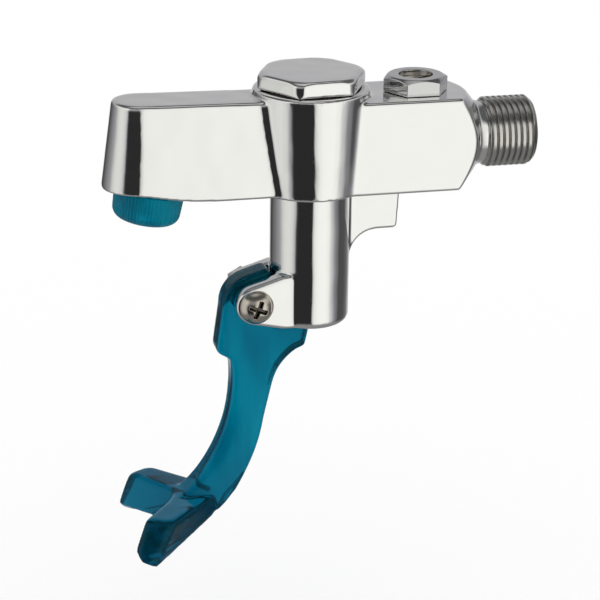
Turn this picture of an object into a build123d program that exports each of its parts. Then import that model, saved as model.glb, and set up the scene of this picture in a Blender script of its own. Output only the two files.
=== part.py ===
from build123d import *
from math import acos, atan2, cos, hypot, radians, sin, tan
import os

# Push-back glass filler tap, in millimetres.
# Everything is drawn about the valve: X = 0 and Y = 0 on the valve axis, Z = 0 on the inlet
# axis, +X towards the supply, spout towards -X. It is written out with the origin moved to the
# shoulder of the inlet thread.

# Clearances
RUNNING_FIT = 0.06        # radial, between a shaft and the hole that it turns or slides in
SEATED_FIT = 0.05         # radial or end play, between pieces that are screwed together
SIDE_PLAY = 0.3           # each side of the lever, between the ears
SWING_PLAY = 0.4          # between the turning lever and the casting
TOE_PLAY = 0.1            # between the resting toe and the foot of the stem

# Inlet tail: half-inch parallel pipe thread
THREAD_RADIUS = 20.955 / 2
THREAD_LENGTH = 15.2
THREAD_LEAD_IN = 1.0
NECK_RADIUS = 10.0
NECK_LENGTH = 2.9
INLET_BORE_RADIUS = 6.0
STRAINER_RADIUS = 7.6
STRAINER_THICKNESS = 0.9
STRAINER_DEPTH = 1.5
STRAINER_HOLE = 0.7       # radius
STRAINER_PITCH = 2.0
STRAINER_RINGS = 2

# Inlet arm: a square bar with a turned end
ARM_WIDTH = 25.7
ARM_HEIGHT = 27.8
ARM_LENGTH = 48.8         # valve axis to the neck
ARM_EDGE = 0.9            # rounding of the upper edges of both arms
UNDERSIDE_EDGE = 0.4      # rounding of their lower edges
SHOULDER_RADIUS = 10.6
SHOULDER_ANGLE = 51.0     # of the turned end, from the inlet axis

# Spout arm: drafted sides and a round nose
SPOUT_LENGTH = 62.5       # valve axis to the foot of the nose, before its edge is rounded
SPOUT_DRAFT = 4.1         # how much shorter it is at the height of the barrel's rim
NOSE_RADIUS = 11.0        # at the foot
NOSE_TOP_RADIUS = 8.1     # at the height of the barrel's rim
SPOUT_TOP_RISE = 0.4      # above the inlet arm, at the barrel
SPOUT_TOP_SLOPE = 1.0     # degrees, rising to the nose
SPOUT_FOOT_RISE = 0.4     # of its underside, above the inlet arm's
RISE_FROM_NOSE = 34.5     # nose to where the underside starts to rise
SPOUT_BEND = 104.0        # radius in which it turns up to the nozzle's tilt
LEVEL_FROM_NOSE = 12.5    # nose to where it starts to level off
SPOUT_LEVELLING = 40.0    # radius in which it levels off

# Valve barrel and its rim
BARREL_TOP_RADIUS = 17.3
BARREL_FOOT_RADIUS = 16.0
RIM_RISE = 2.7            # above the inlet arm
BARREL_BLEND = 4.5        # between the barrel and the sides of both arms
RIM_EDGE = 0.6

# Guide barrel under the valve barrel
GUIDE_RADIUS = 11.9
GUIDE_DEPTH = 41.4        # below the underside of the arms
GUIDE_EDGE = 2.2

# Gusset behind the guide barrel
GUSSET_THICKNESS = 6.0
GUSSET_REACH = 26.2
GUSSET_DROP = 13.8
GUSSET_FLAT = 6.2
GUSSET_FOOT = 20.5        # where its curve meets the guide barrel, below the arms
GUSSET_BULGE = 1.7
GUSSET_CORNER = 1.2
GUSSET_LEAN = 0.8         # of its end, towards the supply
GUSSET_EDGE = 0.6

# Lever pivot and the two ears that carry it
PIVOT_FORWARD = 18.1
PIVOT_ABOVE_FOOT = 8.2
PIVOT_RADIUS = 2.5
EAR_RADIUS = 6.0
EAR_OUTER = 9.9
EAR_TOP_AT_BARREL = 8.6   # above the pivot
EAR_FOOT_LIFT = 0.5       # of the ears' underside, above the guide barrel's foot
EAR_EDGE = 0.9
EAR_WEB = 0.9             # where the web's edges meet the guide barrel, as a share of its radius

# Bonnet cap
CAP_ACROSS_FLATS = 29.3
CAP_HEIGHT = 4.9
CAP_TURN = 4.2            # degrees, as it stands when it is tight
CAP_CORNER = 1.2
CAP_EDGE = 0.5
CAP_FACE_RADIUS = 15.5    # of the flat on top, inside its turned corners
CAP_FACE_ANGLE = 50.0     # of its turned corners, from the cap's axis
CAP_SHANK_RADIUS = 12.0
CAP_SHANK_LENGTH = 7.6
CAP_BORE_RADIUS = 9.0
CAP_CROWN = 3.5
GASKET_RADIUS = 13.9
GASKET_THICKNESS = 1.3

# Valve chamber and seat
CHAMBER_FLOOR = -1.0      # from the inlet axis
SEAT_RADIUS = 9.9
SEAT_DEPTH = 4.0
SEAT_FLANGE = 1.4
SEAT_FLANGE_RADIUS = 11.7
SEAT_LIP = 1.1
SEAT_LIP_WIDTH = 1.6
SEAT_BORE_RADIUS = 4.5
LOWER_CHAMBER_RADIUS = 7.5
LOWER_CHAMBER_DEPTH = 8.5

# Stem, disc and spring
STEM_RADIUS = 2.0
STEM_EDGE = 0.4
LIFT = 3.82
WASHER_RADIUS = 7.4
WASHER_THICKNESS = 2.5
HOLDER_RADIUS = 8.6
HOLDER_FLANGE = 1.8
HOLDER_SKIRT = 1.6
BOSS_RADIUS = 3.9
BOSS_HEIGHT = 6.0
BOSS_CROWN = 2.0
BOSS_EDGE = 0.6
NUT_ACROSS_FLATS = 6.0
NUT_HEIGHT = 2.2
WIRE_RADIUS = 0.6
SPRING_RADIUS = 5.4
SPRING_TURNS = 5.0
FOOT_RADIUS = 3.4
FOOT_HEIGHT = 3.2
FOOT_DOME = 0.8
FOOT_SOCKET = 1.8

# Stem bush and its seals, in the guide barrel
STEM_WAY_RADIUS = 3.0
BUSH_RADIUS = 7.0
BUSH_TOP = -29.1          # from the inlet axis
BUSH_LENGTH = 14.0
BUSH_SLOT_WIDTH = 1.8
BUSH_SLOT_DEPTH = 1.5
BUSH_EDGE = 0.6
SEAL_RADIUS = 0.9         # of each ring's section
SEAL_WASHER = 0.8
SEAL_COUNT = 2

# Flow regulator on the inlet arm
REGULATOR_X = 31.45
GLAND_ACROSS_FLATS = 17.0
GLAND_HEIGHT = 4.85
GLAND_FACE_RADIUS = 7.9
GLAND_FACE_ANGLE = 60.0   # of its turned corners, from the gland's axis
GLAND_SHANK_RADIUS = 7.0
GLAND_SHANK_LENGTH = 5.6
GLAND_GASKET_RADIUS = 8.0
GLAND_GASKET = 0.8        # sunk in the arm
REGULATOR_BORE = 5.0      # radius
REGULATOR_RECESS = 1.8
REGULATOR_LENGTH = 11.2
REGULATOR_EDGE = 0.4
REGULATOR_TIP = 2.4
REGULATOR_TIP_RADIUS = 3.3
SLOT_WIDTH = 1.5
SLOT_DEPTH = 1.6
SLOT_TURN = 35.0
RING_DOWN = 3.2           # middle of the seal, below the regulator's top
RING_RADIUS = 0.65        # of the seal's section
WAY_RADIUS = 3.5
WAY_ABOVE = 4.5           # way from the regulator to the valve, above the inlet axis
OUTLET_WAY_RADIUS = 3.9
OUTLET_WAY_BELOW = 8.4    # way from the valve to the nozzle, below the inlet axis

# Nozzle
NOZZLE_FROM_NOSE = 14.6
NOZZLE_TILT = 10.0        # degrees, mouth leaning outwards, square to the risen underside
NOZZLE_RADIUS = 10.4
NOZZLE_TAPER = 2.2
NOZZLE_DROP = 9.4
NOZZLE_EDGE = 3.2
NOZZLE_SEAT_MARGIN = 0.15 # of the faced seat round the nozzle
COLLAR_RADIUS = 8.4
COLLAR_LENGTH = 3.6
NOZZLE_BORE_RADIUS = 7.2
MOUTH_RADIUS = 6.4
MOUTH_DEPTH = 4.6
STRAIGHTENER_THICKNESS = 3.4
STRAIGHTENER_HOLE = 0.95  # radius
STRAIGHTENER_PITCH = 2.3
STRAIGHTENER_RINGS = 2
SCREEN_THICKNESS = 0.6
SCREEN_HOLE = 0.5
SCREEN_PITCH = 1.5
SCREEN_RINGS = 3
NOZZLE_GASKET = 1.0
NOZZLE_GASKET_WIDTH = 2.4

# Lever: places on its side outline are (ahead of the pivot, above the pivot)
LEVER_WIDTH = 9.0
LEVER_EDGE = 0.9          # rounding along both sides
HEAD_BACK = (-5.6, 9.9)
HEAD_CROWN = (2.4, 7.4)
HEAD_BROW = (7.0, 4.2)
HEAD_FRONT = (9.2, -2.3)
HEAD_CHIN = (11.1, -16.2)
LEDGE_BACK = (6.5, -18.8)
CHIN_ROUND = 2.2
LEDGE_ROUND = 0.8
ARM_FRONT_CENTRE = (57.2, -26.0)
ARM_FRONT_RADIUS = 50.8
ARM_BACK_LOW = (12.7, -68.8)
ARM_BACK_MIDDLE = (2.4, -54.6)
ARM_BACK_TOP = (-3.2, -39.0)
TOE_ROOT = (-6.6, -26.3)
TOE_HOLLOW = (-10.2, -19.8)
TOE_LOW = (-14.2, -16.6)
TOE_TIP_LOW = (-16.2, -16.1)
TOE_TIP = (-17.4, -10.7)
TOE_TOP_DROP = 0.8        # top of the toe, below the guide barrel's foot
TOE_ROUND = 1.0
HEAD_ROUND_BACK = 1.5
CROWN_ROUND = 3.0
ARM_BACK_ROUND = 6.0

# Fork at the foot of the lever, measured from the pivot
FORK_TOP = 62.7
PRONG_SPLAY = 29.0        # degrees, back from square to the spout
FORK_HALF_SPAN = 20.3
PRONG_TIP_AHEAD = 35.1    # front of each prong's tip
PRONG_DEPTH = 8.8
PRONG_LEAN = 18.0         # degrees, of the faces inside the fork
PRONG_FRONT_HEIGHT = 10.4
PRONG_TIP_HEIGHT = 15.5
PRONG_TIP_FOOT = 33.0
TIP_CORNER = 3.5          # rounding of each tip's front corner
THROAT = 3.0              # rounding between the prongs
FORK_EDGE = 1.2
SUNK_IN_FORK = 2.0        # foot of the lever's arm, below the fork's top

# Pivot screw and nut
HEAD_RADIUS = 5.1
HEAD_HEIGHT = 3.2
HEAD_RIM = 0.6            # height of the head's straight rim
HEAD_SHOULDER = 2.5       # height of its dome at two thirds of its radius
CROSS_WIDTH = 1.3
CROSS_LENGTH = 5.6
CROSS_DEPTH = 2.0
CROSS_TURN = 22.0
NUT_FLATS = 8.0
NUT_THICKNESS = 4.0
SCREW_END = 0.8
SCREW_EDGE = 0.4

# Levels and places that follow
ARM_TOP = ARM_HEIGHT / 2
ARM_FOOT = -ARM_HEIGHT / 2
SPOUT_FOOT = ARM_FOOT + SPOUT_FOOT_RISE
RIM = ARM_TOP + RIM_RISE
GUIDE_FOOT = ARM_FOOT - GUIDE_DEPTH
PIVOT_X = -PIVOT_FORWARD
PIVOT_Z = GUIDE_FOOT + PIVOT_ABOVE_FOOT
EAR_INNER = LEVER_WIDTH / 2 + SIDE_PLAY
THREAD_START = ARM_LENGTH + NECK_LENGTH
THREAD_END = THREAD_START + THREAD_LENGTH
SEAT_FACE = CHAMBER_FLOOR + SEAT_FLANGE + SEAT_LIP
WASHER_FOOT = SEAT_FACE + SEATED_FIT
WASHER_TOP = WASHER_FOOT + WASHER_THICKNESS
SPRING_FOOT = WASHER_TOP + HOLDER_FLANGE
STEM_TOP = SPRING_FOOT + BOSS_HEIGHT - BOSS_CROWN - SEATED_FIT
CAP_BASE = RIM + SEATED_FIT
CAP_CEILING = CAP_BASE + CAP_HEIGHT - CAP_CROWN
TOE_TOP = GUIDE_FOOT - TOE_TOP_DROP
STEM_FOOT = TOE_TOP + TOE_PLAY
GLAND_BASE = ARM_TOP + SEATED_FIT
GLAND_TOP = GLAND_BASE + GLAND_HEIGHT
GLAND_FOOT = ARM_TOP - GLAND_SHANK_LENGTH
SPINDLE_TOP = GLAND_TOP - REGULATOR_RECESS
SPINDLE_RADIUS = REGULATOR_BORE - RUNNING_FIT
SEAL_OUTER = STEM_RADIUS + 2 * (RUNNING_FIT + SEAL_RADIUS)
SEAL_POCKET = SEAL_WASHER + SEAL_COUNT * (2 * SEAL_RADIUS + SEATED_FIT) + SEATED_FIT
SPOUT_FLAT = SPOUT_LENGTH - RISE_FROM_NOSE
BEND_END = SPOUT_FLAT + SPOUT_BEND * sin(radians(NOZZLE_TILT))
BEND_RISE = SPOUT_BEND * (1 - cos(radians(NOZZLE_TILT)))
NOZZLE_X = SPOUT_LENGTH - NOZZLE_FROM_NOSE
NOZZLE_Z = SPOUT_FOOT + BEND_RISE + (NOZZLE_X - BEND_END) * tan(radians(NOZZLE_TILT))
NOZZLE = Location((-NOZZLE_X, 0, NOZZLE_Z), (0, NOZZLE_TILT, 0))
STRAIGHTENER_FOOT = MOUTH_DEPTH - NOZZLE_DROP + SEATED_FIT
SCREEN_FOOT = STRAIGHTENER_FOOT + STRAIGHTENER_THICKNESS + SEATED_FIT
BEYOND = 200.0

UP = (Align.CENTER, Align.CENTER, Align.MIN)


def rod(radius, low, high, x=0.0):
    """An upright cylinder between two heights."""
    return Pos(x, 0, low) * Cylinder(radius, high - low, align=UP)


def tube(outer, inner, low, high, x=0.0):
    return rod(outer, low, high, x) - rod(inner, low - 1, high + 1, x)


def upright_cone(foot_radius, top_radius, low, high, x=0.0):
    return Pos(x, 0, low) * Cone(foot_radius, top_radius, high - low, align=UP)


def lying_rod(radius, start, end, height=0.0):
    """A cylinder along X between two places."""
    return Pos(start, 0, height) * Cylinder(radius, end - start, rotation=(0, 90, 0), align=UP)


def cross_rod(radius, start, end, x, z):
    """A cylinder along Y between two places."""
    return Pos(x, start, z) * Cylinder(radius, end - start, rotation=(-90, 0, 0), align=UP)


def hexagon(across_flats, low, high, turn=0.0, x=0.0):
    outline = RegularPolygon(across_flats / 2, 6, major_radius=False, rotation=turn)
    return Pos(x, 0, low) * extrude(outline, high - low)


def block(start, end, half_width, low, high):
    size = Box(end - start, 2 * half_width, high - low)
    return Pos((start + end) / 2, 0, (low + high) / 2) * size


def side_plate(outline, half_width):
    """A plate from a side outline drawn as (X, Z), the same to both sides of the middle."""
    return extrude(Plane.XZ * outline, half_width, both=True)


def drilled(disc, hole_radius, pitch, rings, low, high):
    """Round holes through a disc on a triangular grid, out to a number of rings."""
    places = [(0.0, 0.0)]
    for around in range(1, rings + 1):
        for side in range(6):
            start = radians(60 * side)
            along = radians(60 * side + 120)
            for step in range(around):
                places.append((pitch * (around * cos(start) + step * cos(along)),
                               pitch * (around * sin(start) + step * sin(along))))
    holes = [Pos(x, y, 0) * rod(hole_radius, low - 1, high + 1) for x, y in places]
    return disc - holes


# Casting
def barrel_radius(height):
    share = (height - ARM_FOOT) / (RIM - ARM_FOOT)
    return BARREL_FOOT_RADIUS + share * (BARREL_TOP_RADIUS - BARREL_FOOT_RADIUS)


def arms_outline(height, spout_length, nose_radius):
    """Spout, barrel and inlet arm in plan, with the hollows beside the barrel rounded."""
    nose = CenterArc((nose_radius - spout_length, 0), nose_radius, 90, 180)
    sides = Polyline(nose @ 1, (0, -nose_radius), (0, nose_radius), nose @ 0)
    inlet = Pos(ARM_LENGTH / 2, 0) * Rectangle(ARM_LENGTH, ARM_WIDTH)
    radius = barrel_radius(height)
    outline = Sketch() + [make_face(nose + sides), inlet, Circle(radius)]

    def in_hollow(corner):
        return abs(hypot(corner.X, corner.Y) - radius) < 0.01

    outline = fillet(outline.vertices().filter_by(in_hollow), BARREL_BLEND)
    return Pos(0, 0, height) * outline.faces()[0]


def under_spout():
    """What is cut away under the spout: level at the barrel, up past the nozzle, level at the nose."""
    tilt = radians(NOZZLE_TILT)

    def on_bend(angle):
        return (-SPOUT_FLAT - SPOUT_BEND * sin(angle), SPOUT_FOOT + SPOUT_BEND * (1 - cos(angle)))

    rise_end = SPOUT_LENGTH - LEVEL_FROM_NOSE
    rise_end_z = SPOUT_FOOT + BEND_RISE + (rise_end - BEND_END) * tan(tilt)

    def on_levelling(angle):
        return (-rise_end - SPOUT_LEVELLING * (sin(tilt) - sin(angle)),
                rise_end_z + SPOUT_LEVELLING * (cos(angle) - cos(tilt)))

    bend = ThreePointArc(on_bend(0), on_bend(tilt / 2), on_bend(tilt))
    rise = Line(on_bend(tilt), on_levelling(tilt))
    levelling = ThreePointArc(on_levelling(tilt), on_levelling(tilt / 2), on_levelling(0))
    level_x, level_z = on_levelling(0)
    rest = Polyline((level_x, level_z), (-BEYOND, level_z), (-BEYOND, -BEYOND), (0, -BEYOND), (0, SPOUT_FOOT),
                    on_bend(0))
    return side_plate(make_face(bend + rise + levelling + rest), BEYOND)


def rounded_underside(solid):
    """Lower edges rounded, but for those across the arms."""
    def on_outside(edge):
        return abs(edge.center().Y) > 1 or edge.geom_type != GeomType.LINE

    undersides = solid.faces().filter_by(lambda face: face.normal_at().Z < -0.9)
    return fillet(undersides.edges().filter_by(on_outside), UNDERSIDE_EDGE)


def arms():
    """Both arms and the barrel between them, drafted from one outline at the foot to one on top."""
    solid = loft([arms_outline(ARM_FOOT, SPOUT_LENGTH, NOSE_RADIUS),
                  arms_outline(RIM, SPOUT_LENGTH - SPOUT_DRAFT, NOSE_TOP_RADIUS)], ruled=True)
    over_inlet = block(-BEYOND, BEYOND, BEYOND, ARM_TOP, BEYOND)
    over_spout = Pos(0, 0, ARM_TOP + SPOUT_TOP_RISE) * Rot(0, SPOUT_TOP_SLOPE, 0) * Box(
        2 * BEYOND, BEYOND, BEYOND, align=UP)
    inlet_half = solid - over_inlet
    inlet_half = fillet(inlet_half.faces().sort_by(Axis.Z)[-1].edges(), ARM_EDGE)
    inlet_half = rounded_underside(inlet_half) & block(0, BEYOND, BEYOND, -BEYOND, BEYOND)
    spout_half = solid - over_spout
    spout_half = fillet(spout_half.faces().sort_by(Axis.Z)[-1].edges(), ARM_EDGE)
    spout_half = rounded_underside(spout_half - under_spout()) & block(-BEYOND, 0, BEYOND, -BEYOND, BEYOND)
    return inlet_half + spout_half


def turned_end():
    """The cone that the inlet arm's end is turned to."""
    length = BEYOND + ARM_LENGTH
    start_radius = SHOULDER_RADIUS + length * tan(radians(SHOULDER_ANGLE))
    return Pos(-BEYOND, 0, 0) * Cone(start_radius, SHOULDER_RADIUS, length, rotation=(0, 90, 0), align=UP)


def inlet_tail():
    thread = lying_rod(THREAD_RADIUS, THREAD_START, THREAD_END)
    thread = chamfer(thread.edges().group_by(Axis.X)[-1], THREAD_LEAD_IN)
    return lying_rod(NECK_RADIUS, ARM_LENGTH - 1, THREAD_START) + thread


def valve_barrel():
    return upright_cone(BARREL_FOOT_RADIUS, BARREL_TOP_RADIUS, ARM_FOOT, RIM)


def guide_barrel():
    barrel = rod(GUIDE_RADIUS, GUIDE_FOOT, ARM_FOOT + 1)
    return fillet(barrel.edges().group_by(Axis.Z)[0], GUIDE_EDGE)


def gusset():
    foot = ARM_FOOT - GUSSET_FOOT
    flat = ARM_FOOT - GUSSET_DROP
    flat_start = GUSSET_REACH - GUSSET_FLAT
    middle_x = (GUIDE_RADIUS + flat_start) / 2
    middle_z = (foot + flat) / 2
    hollow = ThreePointArc((GUIDE_RADIUS, foot), (middle_x - GUSSET_BULGE / 2, middle_z + GUSSET_BULGE),
                           (flat_start, flat))
    rest = Polyline((flat_start, flat), (GUSSET_REACH, flat), (GUSSET_REACH + GUSSET_LEAN, ARM_FOOT + 1),
                    (0, ARM_FOOT + 1), (0, foot), (GUIDE_RADIUS, foot))
    web = side_plate(make_face(hollow + rest), GUSSET_THICKNESS / 2)
    corner = web.edges().filter_by(Axis.Y).sort_by(lambda edge: edge.center().X - edge.center().Z)[-1]
    web = fillet(corner, GUSSET_CORNER)
    rims = web.faces().filter_by(Axis.Y).edges().filter_by(lambda edge: edge.center().X > GUIDE_RADIUS)
    return fillet(rims.filter_by(lambda edge: edge.center().Z < ARM_FOOT), GUSSET_EDGE)


def on_circle_toward(outer, side):
    """Where a line from an outer place touches the ears' round end, over (1) or under (-1) it."""
    ahead = outer[0] - PIVOT_X
    above = outer[1] - PIVOT_Z
    bearing = atan2(above, ahead) + side * acos(EAR_RADIUS / hypot(ahead, above))
    return (PIVOT_X + EAR_RADIUS * cos(bearing), PIVOT_Z + EAR_RADIUS * sin(bearing))


def ear_outline():
    """A round end joined to the guide barrel by a web with straight edges."""
    round_end = Pos(PIVOT_X, PIVOT_Z) * Circle(EAR_RADIUS)
    top = (-GUIDE_RADIUS * EAR_WEB, PIVOT_Z + EAR_TOP_AT_BARREL)
    foot = (-GUIDE_RADIUS * EAR_WEB, GUIDE_FOOT + EAR_FOOT_LIFT)
    web = Polyline(on_circle_toward(top, 1), top, (0, top[1]), (0, foot[1]), foot, on_circle_toward(foot, -1),
                   (PIVOT_X, PIVOT_Z), close=True)
    return round_end + make_face(web)


def ears():
    plate = side_plate(ear_outline(), EAR_OUTER)
    rims = plate.faces().filter_by(Axis.Y).edges().filter_by(lambda edge: edge.center().X < -GUIDE_RADIUS / 2)
    return fillet(rims, EAR_EDGE)


def lever_room():
    """What the ears and the foot of the guide barrel leave free for the lever to swing in."""
    above_ears = PIVOT_Z + EAR_TOP_AT_BARREL + 1
    between_ears = block(-BEYOND, 0, EAR_INNER, GUIDE_FOOT - 1, above_ears) - rod(
        GUIDE_RADIUS, GUIDE_FOOT - 2, above_ears + 1)
    slot_top = PIVOT_Z - 2 * SWING_PLAY
    slot_end = -TOE_TIP[0] - PIVOT_FORWARD + LIFT + SWING_PLAY
    return between_ears + block(PIVOT_X, slot_end, EAR_INNER, GUIDE_FOOT - 1, slot_top)


def water_ways():
    supply = lying_rod(INLET_BORE_RADIUS, REGULATOR_X, THREAD_END + 1)
    strainer_depth = STRAINER_DEPTH + STRAINER_THICKNESS
    strainer_seat = lying_rod(STRAINER_RADIUS + SEATED_FIT, THREAD_END - strainer_depth, THREAD_END + 1)
    to_valve = lying_rod(WAY_RADIUS, 0, REGULATOR_X, WAY_ABOVE)
    gland_seat = rod(GLAND_SHANK_RADIUS + SEATED_FIT, GLAND_FOOT - SEATED_FIT, ARM_TOP + 1, REGULATOR_X)
    gland_gasket_seat = rod(GLAND_GASKET_RADIUS + SEATED_FIT, ARM_TOP - GLAND_GASKET, ARM_TOP + 1, REGULATOR_X)
    throttle = rod(REGULATOR_BORE, 0, ARM_TOP, REGULATOR_X)
    to_nozzle = lying_rod(OUTLET_WAY_RADIUS, -NOZZLE_X, 0, -OUTLET_WAY_BELOW)
    socket_top = COLLAR_LENGTH + NOZZLE_GASKET + SEATED_FIT
    socket = NOZZLE * rod(COLLAR_RADIUS + SEATED_FIT, -NOZZLE_EDGE, socket_top)
    over_nozzle = NOZZLE * rod(COLLAR_RADIUS - NOZZLE_GASKET_WIDTH, 0, socket_top + WAY_RADIUS)
    nozzle_seat = NOZZLE * rod(NOZZLE_RADIUS + NOZZLE_SEAT_MARGIN, -NOZZLE_DROP, SEATED_FIT)
    return [supply, strainer_seat, to_valve, gland_seat, gland_gasket_seat, throttle, to_nozzle, socket,
            over_nozzle, nozzle_seat]


def valve_bores():
    seat_floor = CHAMBER_FLOOR - SEAT_DEPTH
    lower_floor = seat_floor - LOWER_CHAMBER_DEPTH
    gasket_recess = rod(GASKET_RADIUS + SEATED_FIT, RIM - GASKET_THICKNESS, RIM + 1)
    chamber = rod(CAP_SHANK_RADIUS + SEATED_FIT, CHAMBER_FLOOR, RIM)
    seat_pocket = rod(SEAT_RADIUS + SEATED_FIT, seat_floor, CHAMBER_FLOOR + 1)
    lower_chamber = rod(LOWER_CHAMBER_RADIUS, lower_floor, CHAMBER_FLOOR)
    stem_way = rod(STEM_WAY_RADIUS, BUSH_TOP - 1, lower_floor + 1)
    bush_bore = rod(BUSH_RADIUS + SEATED_FIT, GUIDE_FOOT - 1, BUSH_TOP)
    return [gasket_recess, chamber, seat_pocket, lower_chamber, stem_way, bush_bore]


def faucet_body():
    casting = (arms() & turned_end()) + valve_barrel()
    casting = fillet(casting.faces().sort_by(Axis.Z)[-1].edges(), RIM_EDGE)
    casting = casting + inlet_tail() + guide_barrel() + gusset() + ears()
    casting = casting - lever_room()
    casting = casting - cross_rod(PIVOT_RADIUS + SEATED_FIT, -BEYOND, BEYOND, PIVOT_X, PIVOT_Z)
    return casting - water_ways() - valve_bores()


# Cap, valve and stem
def bonnet_cap():
    head = hexagon(CAP_ACROSS_FLATS, CAP_BASE, CAP_BASE + CAP_HEIGHT, CAP_TURN)
    head = fillet(head.edges().filter_by(Axis.Z), CAP_CORNER)
    head = head & upright_cone(CAP_FACE_RADIUS + CAP_HEIGHT * tan(radians(CAP_FACE_ANGLE)), CAP_FACE_RADIUS,
                               CAP_BASE, CAP_BASE + CAP_HEIGHT)
    head = fillet(head.faces().sort_by(Axis.Z)[-1].edges(), CAP_EDGE)
    shank_foot = CAP_BASE - CAP_SHANK_LENGTH
    shank = rod(CAP_SHANK_RADIUS, shank_foot, CAP_BASE + 1)
    return head + shank - rod(CAP_BORE_RADIUS, shank_foot - 1, CAP_CEILING)


def cap_gasket():
    return tube(GASKET_RADIUS, CAP_SHANK_RADIUS + SEATED_FIT, RIM - GASKET_THICKNESS, RIM)


def valve_seat():
    floor = CHAMBER_FLOOR - SEAT_DEPTH
    flange_top = CHAMBER_FLOOR + SEAT_FLANGE
    body = rod(SEAT_RADIUS, floor, CHAMBER_FLOOR) + rod(SEAT_FLANGE_RADIUS, CHAMBER_FLOOR, flange_top)
    body = body + upright_cone(SEAT_BORE_RADIUS + SEAT_LIP_WIDTH, SEAT_BORE_RADIUS + SEAT_LIP_WIDTH / 2,
                               flange_top, SEAT_FACE)
    return body - rod(SEAT_BORE_RADIUS, floor - 1, SEAT_FACE + 1)


def seat_washer():
    return tube(WASHER_RADIUS, STEM_RADIUS + SEATED_FIT, WASHER_FOOT, WASHER_TOP)


def disc_holder():
    skirt_foot = WASHER_TOP - HOLDER_SKIRT
    flange = rod(HOLDER_RADIUS, skirt_foot, SPRING_FOOT)
    flange = flange - rod(WASHER_RADIUS + SEATED_FIT, skirt_foot - 1, WASHER_TOP)
    boss = rod(BOSS_RADIUS, SPRING_FOOT - 1, SPRING_FOOT + BOSS_HEIGHT)
    boss = chamfer(boss.edges().group_by(Axis.Z)[-1], BOSS_EDGE)
    return flange + boss - rod(STEM_RADIUS + SEATED_FIT, skirt_foot, STEM_TOP + SEATED_FIT)


def washer_nut():
    nut = hexagon(NUT_ACROSS_FLATS, WASHER_FOOT - NUT_HEIGHT, WASHER_FOOT)
    return nut - rod(STEM_RADIUS + SEATED_FIT, WASHER_FOOT - NUT_HEIGHT - 1, WASHER_FOOT + 1)


def valve_stem():
    stem = rod(STEM_RADIUS, STEM_FOOT + FOOT_HEIGHT - FOOT_SOCKET, STEM_TOP)
    return chamfer(stem.edges().group_by(Axis.Z)[-1], STEM_EDGE)


def stem_foot():
    top = STEM_FOOT + FOOT_HEIGHT
    shoulder = STEM_FOOT + FOOT_DOME
    on_dome = (FOOT_RADIUS * 0.7, STEM_FOOT + FOOT_DOME * 0.4)
    dome = ThreePointArc((0, STEM_FOOT), on_dome, (FOOT_RADIUS, shoulder))
    rest = Polyline((FOOT_RADIUS, shoulder), (FOOT_RADIUS, top), (0, top), (0, STEM_FOOT))
    foot = revolve(Plane.XZ * make_face(dome + rest), Axis.Z)
    return foot - rod(STEM_RADIUS + SEATED_FIT, top - FOOT_SOCKET - SEATED_FIT, top + 1)


def valve_spring():
    low = SPRING_FOOT + WIRE_RADIUS + SEATED_FIT
    high = CAP_CEILING - WIRE_RADIUS - SEATED_FIT
    path = Pos(0, 0, low) * Helix((high - low) / SPRING_TURNS, high - low, SPRING_RADIUS)
    section = Plane(origin=path @ 0, z_dir=path % 0) * Circle(WIRE_RADIUS)
    return sweep(section, path=path, is_frenet=True)


def stem_bush():
    foot = BUSH_TOP - BUSH_LENGTH
    body = rod(BUSH_RADIUS, foot, BUSH_TOP)
    body = chamfer(body.edges().group_by(Axis.Z)[0], BUSH_EDGE)
    seal_pocket = rod(SEAL_OUTER + SEATED_FIT, BUSH_TOP - SEAL_POCKET, BUSH_TOP + 1)
    stem_bore = rod(STEM_RADIUS + RUNNING_FIT, foot - 1, BUSH_TOP)
    slot_reach = BUSH_RADIUS + 1
    driver_slot = block(-slot_reach, slot_reach, BUSH_SLOT_WIDTH / 2, foot - 1, foot + BUSH_SLOT_DEPTH)
    return body - seal_pocket - stem_bore - driver_slot


def stem_seals():
    """Rings one above the other on the floor of the bush's pocket."""
    middle = STEM_RADIUS + RUNNING_FIT + SEAL_RADIUS
    pitch = 2 * SEAL_RADIUS + SEATED_FIT
    lowest = BUSH_TOP - SEAL_POCKET + SEATED_FIT + SEAL_RADIUS
    rings = [Pos(0, 0, lowest + place * pitch) * Torus(middle, SEAL_RADIUS) for place in range(SEAL_COUNT)]
    return Compound(children=rings)


def seal_washer():
    return tube(SEAL_OUTER, STEM_RADIUS + RUNNING_FIT, BUSH_TOP - SEAL_WASHER, BUSH_TOP)


# Flow regulator
def regulator_gland():
    head = hexagon(GLAND_ACROSS_FLATS, GLAND_BASE, GLAND_TOP, 0, REGULATOR_X)
    turned = upright_cone(GLAND_FACE_RADIUS + GLAND_HEIGHT * tan(radians(GLAND_FACE_ANGLE)), GLAND_FACE_RADIUS,
                          GLAND_BASE, GLAND_TOP, REGULATOR_X)
    shank = rod(GLAND_SHANK_RADIUS, GLAND_FOOT, GLAND_BASE + 1, REGULATOR_X)
    return (head & turned) + shank - rod(REGULATOR_BORE, GLAND_FOOT - 1, GLAND_TOP + 1, REGULATOR_X)


def gland_gasket():
    return tube(GLAND_GASKET_RADIUS, GLAND_SHANK_RADIUS + SEATED_FIT, ARM_TOP - GLAND_GASKET, ARM_TOP, REGULATOR_X)


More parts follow.
